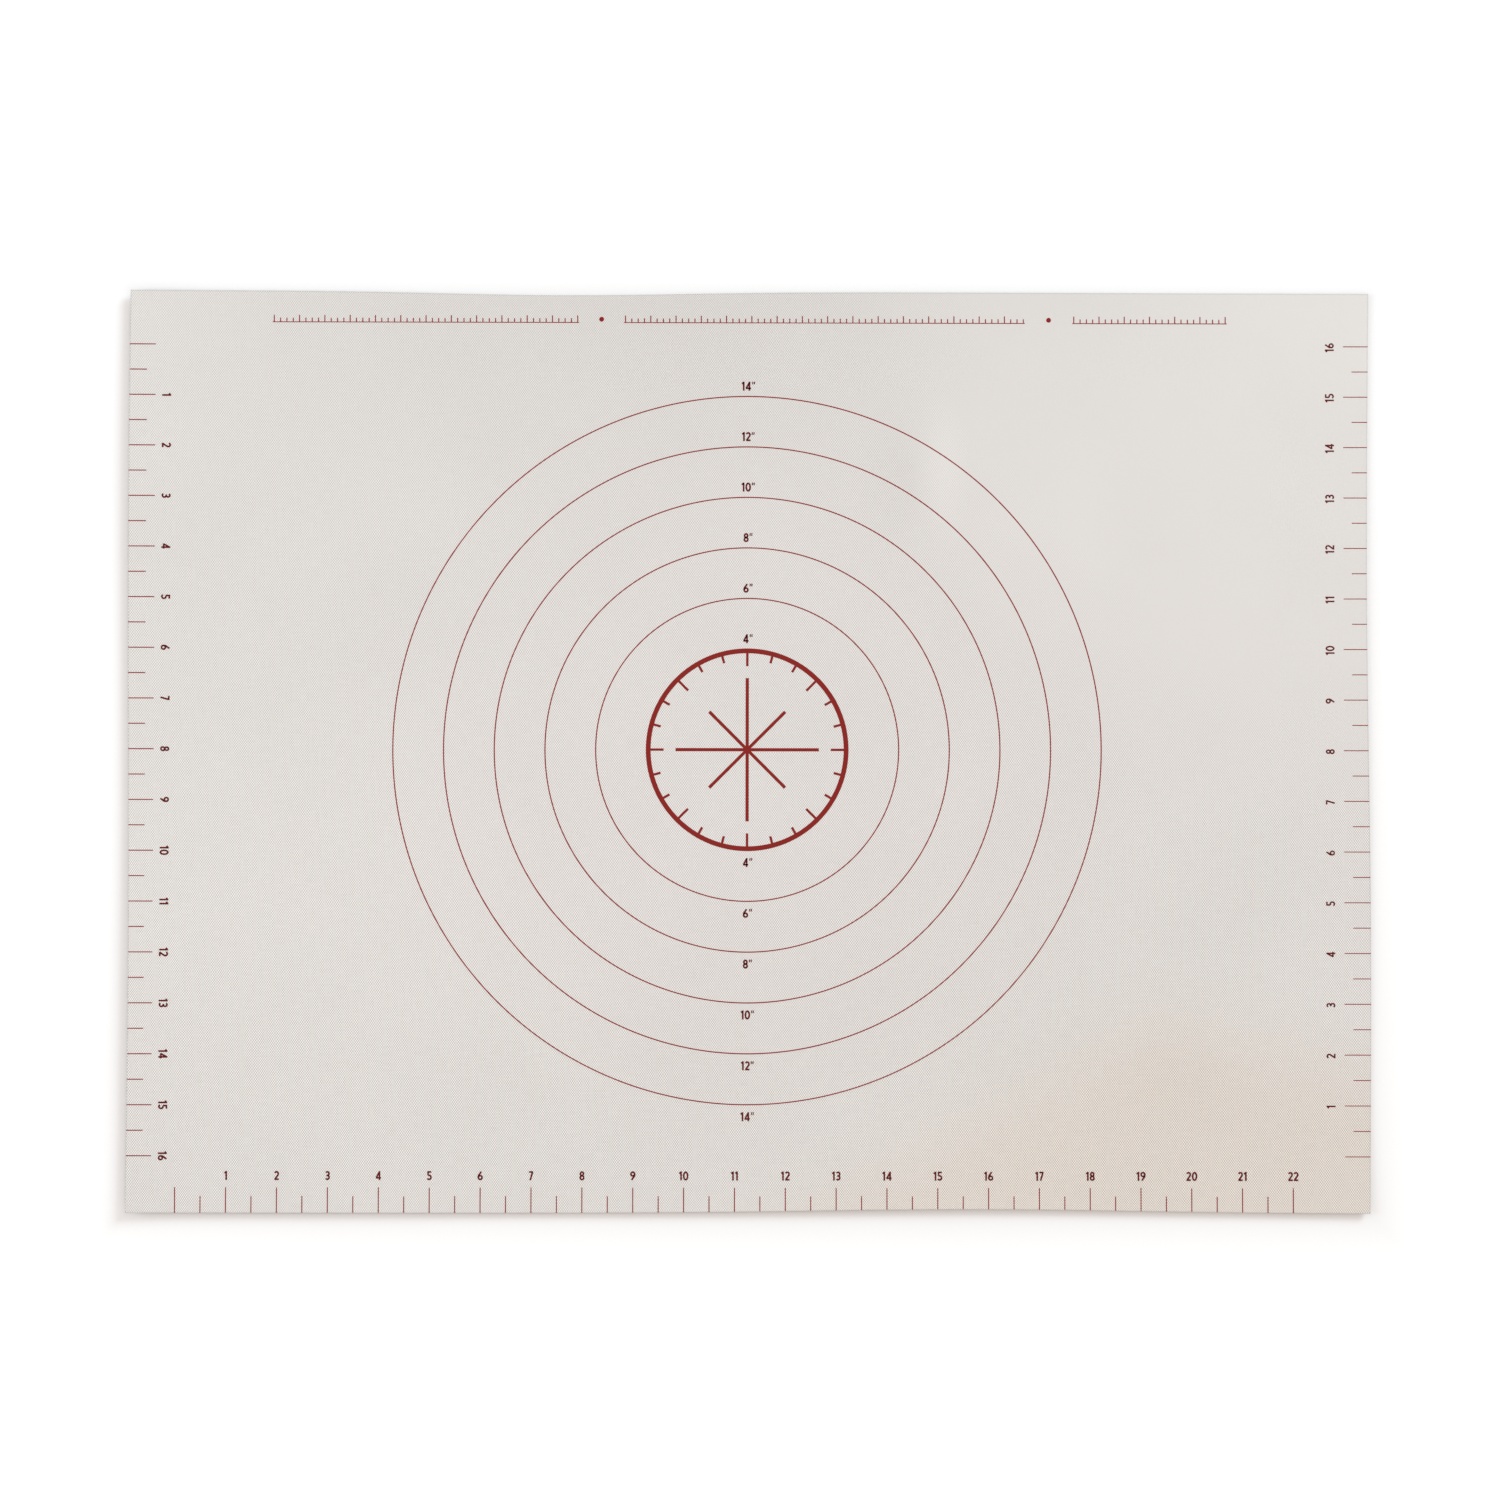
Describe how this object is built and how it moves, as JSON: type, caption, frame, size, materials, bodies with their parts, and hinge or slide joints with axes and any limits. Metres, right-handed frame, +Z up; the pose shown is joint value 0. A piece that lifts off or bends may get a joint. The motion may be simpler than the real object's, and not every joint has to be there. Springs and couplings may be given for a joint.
{
  "type": "baking mat",
  "caption": "Thin rectangular baking mat: woven glass cloth between silicone coats, printed with size rings and inch scales for rolling and cutting dough.",
  "frame": {"origin": "centre of the underside, on the surface that the mat lies on", "axes": "+X along the bottom scale from its zero to its far end, +Y from the bottom scale towards the header edge, +Z up out of the printed face"},
  "size_m": [0.622, 0.462, 0.0008],
  "materials": {
    "top_silicone": "satin silicone with the weave showing through",
    "back_silicone": "matt silicone with the weave showing through",
    "glass_cloth": "plain-weave glass cloth",
    "red_ink": "matt silicone ink",
    "maroon_ink": "matt silicone ink"
  },
  "bodies": {
    "root": {"back_coat": "back_silicone", "glass_cloth": "glass_cloth", "top_coat": "top_silicone", "ring_4_inch": "red_ink", "ring_6_inch": "maroon_ink", "ring_8_inch": "maroon_ink", "ring_10_inch": "maroon_ink", "ring_12_inch": "maroon_ink", "ring_14_inch": "maroon_ink", "portion_star": "red_ink", "left_scale": "maroon_ink", "right_scale": "maroon_ink", "bottom_scale": "maroon_ink", "header_rule_left": "maroon_ink", "header_rule_middle": "maroon_ink", "header_rule_right": "maroon_ink", "header_dot_left": "maroon_ink", "header_dot_right": "maroon_ink"}
  },
  "joints": []
}
